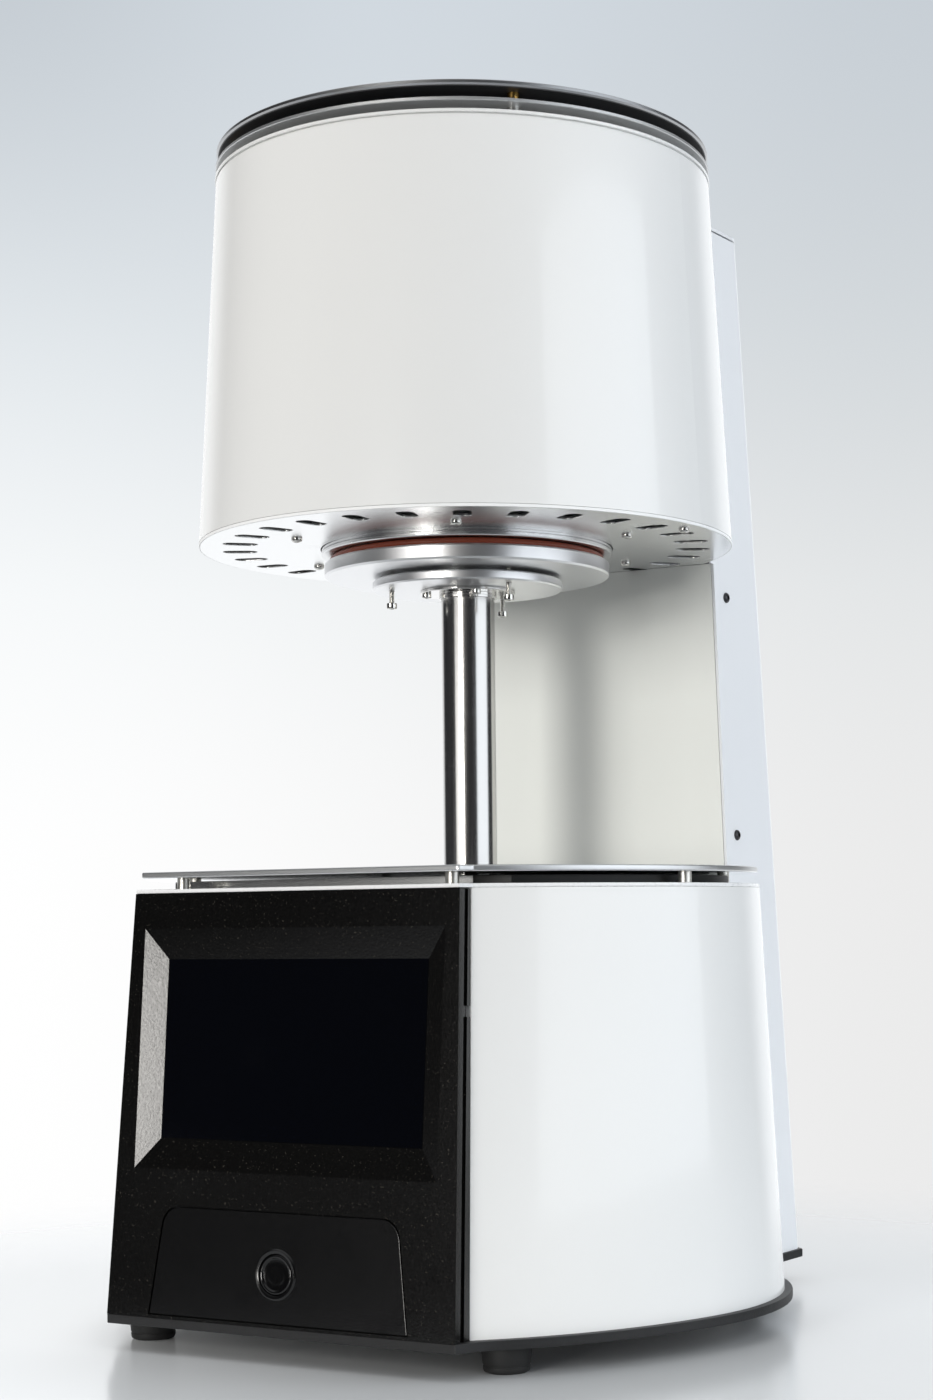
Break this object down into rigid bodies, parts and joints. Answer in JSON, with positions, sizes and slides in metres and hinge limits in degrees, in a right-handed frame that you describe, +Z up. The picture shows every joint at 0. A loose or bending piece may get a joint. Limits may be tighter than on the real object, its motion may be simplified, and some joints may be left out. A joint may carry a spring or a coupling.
{
  "type": "dental furnace",
  "caption": "Vertical-lift dental ceramic furnace: a round heating head on a rear column, a platform on a lift tube, and a base with a leaning touch screen.",
  "frame": {"origin": "centre of the footprint, on the surface that the rubber feet stand on", "axes": "+Z up along the lift, the screen faces -Y, +X to the right of someone facing the screen"},
  "size_m": [0.3518, 0.3576, 0.6086],
  "materials": {
    "black_steel": "black textured powder coat",
    "foot_rubber": "black moulded rubber",
    "white_paint": "white gloss powder coat",
    "fascia_plastic": "black fine-textured moulding",
    "panel_plastic": "black fine-textured moulding",
    "screen_glass": "glossy black touch glass",
    "board": "green circuit board",
    "button_plastic": "black satin cap",
    "button_body": "black anodised ring",
    "table_metal": "satin anodised plate",
    "nickel": "nickel-plated turned part",
    "polished_steel": "polished sheet",
    "machined": "machined aluminium",
    "bronze": "plain bronze bush",
    "tube_steel": "ground stainless tube",
    "disc_metal": "turned and polished disc",
    "seal": "brick-red silicone",
    "screw_steel": "bright machine screw",
    "fibre": "ceramic fibre",
    "tray_ceramic": "fired ceramic",
    "brass": "turned brass",
    "steel": "ground steel",
    "belt": "toothed rubber belt",
    "motor_paint": "black motor body",
    "switch_red": "snap switch body",
    "supply_metal": "pierced sheet housing",
    "frame_steel": "grey primed steel",
    "panel_paint": "warm white satin coat",
    "column_paint": "white satin coat",
    "dark_screw": "blackened screw",
    "head_paint": "white gloss powder coat",
    "thin_plate": "satin sheet",
    "top_plate": "dark satin plate",
    "mirror_plate": "bright satin plate",
    "flange_metal": "polished flange",
    "pot_steel": "spun stainless pot",
    "coil_metal": "oxidised heating wire",
    "inlet_plastic": "black inlet body",
    "port_brass": "turned brass fitting",
    "hose": "thick vacuum hose"
  },
  "bodies": {
    "furnace": {"base_plate": "black_steel", "rubber_feet": "foot_rubber", "base_cover": "white_paint", "base_deck": "white_paint", "front_fascia": "fascia_plastic", "switch_panel": "panel_plastic", "touch_screen": "screen_glass", "control_board": "board", "button_housing": "button_body", "table_plate": "table_metal", "table_standoffs": "nickel", "deck_riser": "polished_steel", "guide_housing": "machined", "guide_bushes": "bronze", "guide_rod": "steel", "screw_bearing": "steel", "bearing_block": "machined", "drive_belt": "belt", "lift_motor": "motor_paint", "motor_bracket": "machined", "limit_switches": "switch_red", "power_supply": "supply_metal", "column_frame": "frame_steel", "head_frame": "frame_steel", "column_panel": "panel_paint", "column_cover": "column_paint", "column_cap": "column_paint", "column_screws": "dark_screw", "head_shell": "head_paint", "head_cover": "head_paint", "vent_plate": "thin_plate", "heat_plate": "top_plate", "brass_spacers": "brass", "nickel_spacers": "nickel", "bottom_plate": "mirror_plate", "bottom_screws": "screw_steel", "chamber_flange": "flange_metal", "vacuum_pot": "pot_steel", "fibre_hood": "fibre", "heating_coil": "coil_metal", "thermocouple": "tray_ceramic", "power_inlet": "inlet_plastic", "switch_frame": "inlet_plastic", "vacuum_port": "port_brass", "vacuum_hose": "hose"},
    "lift": {"lift_tube": "tube_steel", "tube_collar": "disc_metal", "lower_disc": "disc_metal", "platform_disc": "disc_metal", "seal_ring": "seal", "platform_screws": "screw_steel", "firing_pedestal": "fibre", "firing_tray": "tray_ceramic", "nut_carriage": "machined", "lift_nut": "brass"},
    "screw": {"lead_screw": "steel", "screw_pulley": "machined"},
    "motor_rotor": {"motor_pulley": "steel"},
    "button": {"power_button": "button_plastic"},
    "rocker": {"main_switch": "inlet_plastic"}
  },
  "joints": [
    {"name": "lift_slide", "type": "slide", "parent": "furnace", "child": "lift", "axis": [0, 0, 1], "range_m": [-0.12, 0]},
    {"name": "screw_spin", "type": "hinge", "parent": "furnace", "child": "screw", "pos_m": [0, -0.0082, 0.1], "axis": [0, 0, 1], "range_deg": [-10, 4340]},
    {"name": "motor_spin", "type": "hinge", "parent": "furnace", "child": "motor_rotor", "pos_m": [0.062, 0.0118, 0.05], "axis": [0, 0, 1], "range_deg": [-20, 8140]},
    {"name": "button_press", "type": "slide", "parent": "furnace", "child": "button", "axis": [0, 0.9969, -0.0791], "range_m": [0, 0.002], "stiffness_N_per_m": 600, "springref_m": -0.001},
    {"name": "switch_rock", "type": "hinge", "parent": "furnace", "child": "rocker", "pos_m": [-0.034, 0.17219, 0.11239], "axis": [1, 0, 0], "range_deg": [0, 20]}
  ],
  "couplings": [
    {"joint": "screw_spin", "follows": "lift_slide", "rad_per_m": -628.32},
    {"joint": "motor_spin", "follows": "lift_slide", "rad_per_m": -1178.1}
  ]
}
